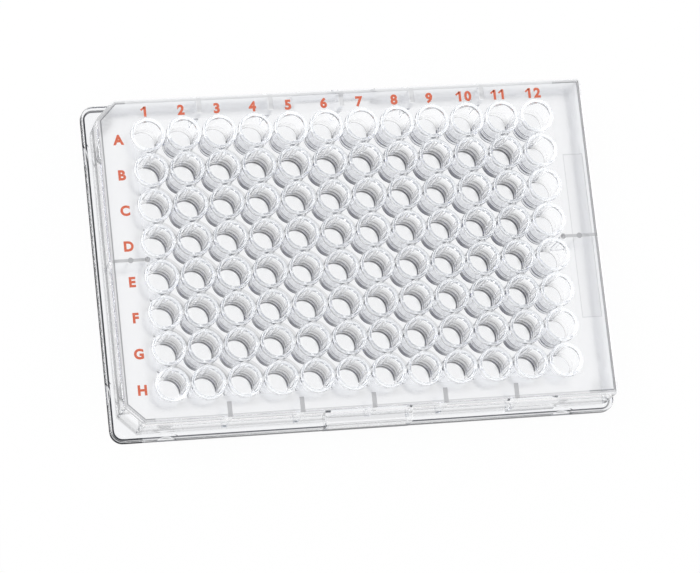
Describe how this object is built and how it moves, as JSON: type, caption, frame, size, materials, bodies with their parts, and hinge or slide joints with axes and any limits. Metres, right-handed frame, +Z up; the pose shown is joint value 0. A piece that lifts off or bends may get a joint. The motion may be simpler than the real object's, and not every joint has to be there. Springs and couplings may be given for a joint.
{
  "type": "microplate",
  "caption": "Clear flat-bottomed microplate: a grid of round wells in a deck with side walls, a stepped base flange with grip notches, and two cut corners.",
  "frame": {"origin": "centre of the footprint, on the plane that the base stands on", "axes": "+X from column 1 to column 12, +Y from row H to row A, +Z up out of the wells"},
  "size_m": [0.1278, 0.0854, 0.0143],
  "materials": {
    "plate": "clear, water-white, polished moulding",
    "print": "thin printed ink of the row letters and column numbers"
  },
  "bodies": {
    "root": {"plate": "plate"}
  },
  "joints": []
}
